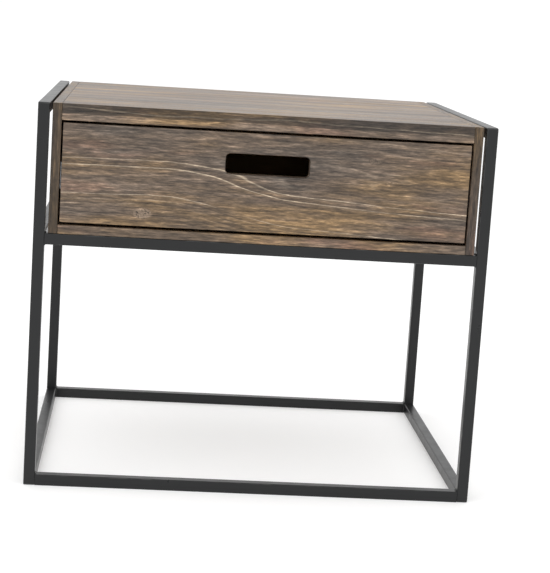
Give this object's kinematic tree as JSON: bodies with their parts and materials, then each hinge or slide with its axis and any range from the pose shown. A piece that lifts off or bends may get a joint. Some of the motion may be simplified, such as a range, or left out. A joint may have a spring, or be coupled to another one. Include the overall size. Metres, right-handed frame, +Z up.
{
  "type": "side table with drawer",
  "caption": "Low side table: a wooden case with an inset drawer and finger slot, held in a welded square-tube frame with floor rails.",
  "frame": {"origin": "on the floor, under the middle of the table", "axes": "+Z up, +X to the right along the front, the drawer opens towards -Y"},
  "size_m": [0.6, 0.515, 0.51],
  "materials": {
    "frame_steel": "black powder coat, satin, rubbed lighter along the edges",
    "weathered_pine": "grey-brown weathered pine, brushed grain, matt wax",
    "plain_pine": "planed pine, unfinished",
    "thin_board": "thin plywood, sanded",
    "slide_steel": "zinc-plated cold-rolled steel",
    "ball_steel": "polished steel, lightly greased",
    "screw_steel": "zinc-plated",
    "black_screw": "black oxide",
    "bumper_rubber": "matt black rubber",
    "beech_dowel": "fluted beech dowel, plain"
  },
  "bodies": {
    "frame": {"leg_front_left": "frame_steel", "leg_front_right": "frame_steel", "leg_back_left": "frame_steel", "leg_back_right": "frame_steel", "top_rail_left": "frame_steel", "top_rail_right": "frame_steel", "bottom_rail_left": "frame_steel", "bottom_rail_right": "frame_steel", "bottom_rail_front": "frame_steel", "bottom_rail_back": "frame_steel", "support_rail_front": "frame_steel", "support_rail_back": "frame_steel", "support_rail_left": "frame_steel", "support_rail_right": "frame_steel", "top_panel": "weathered_pine", "bottom_panel": "weathered_pine", "left_side_panel": "weathered_pine", "right_side_panel": "weathered_pine", "back_panel": "thin_board", "carcass_dowels": "beech_dowel", "carcass_screws": "black_screw", "outer_slide_left": "slide_steel", "outer_slide_right": "slide_steel", "outer_slide_screws": "screw_steel", "slide_bumpers": "bumper_rubber"},
    "drawer": {"drawer_front": "weathered_pine", "drawer_side_left": "plain_pine", "drawer_side_right": "plain_pine", "drawer_back": "plain_pine", "drawer_bottom": "thin_board", "drawer_dowels": "beech_dowel", "inner_slide_left": "slide_steel", "inner_slide_right": "slide_steel", "inner_slide_screws": "screw_steel"},
    "ball_cage_left": {"ball_cage_left": "slide_steel", "slide_balls_left": "ball_steel"},
    "ball_cage_right": {"ball_cage_right": "slide_steel", "slide_balls_right": "ball_steel"}
  },
  "joints": [
    {"name": "drawer_slide", "type": "slide", "parent": "frame", "child": "drawer", "axis": [0, -1, 0], "range_m": [0, 0.33]},
    {"name": "ball_cage_left_slide", "type": "slide", "parent": "frame", "child": "ball_cage_left", "axis": [0, -1, 0], "range_m": [0, 0.165]},
    {"name": "ball_cage_right_slide", "type": "slide", "parent": "frame", "child": "ball_cage_right", "axis": [0, -1, 0], "range_m": [0, 0.165]}
  ],
  "couplings": [
    {"joint": "ball_cage_left_slide", "follows": "drawer_slide", "ratio": 0.5},
    {"joint": "ball_cage_right_slide", "follows": "drawer_slide", "ratio": 0.5}
  ]
}
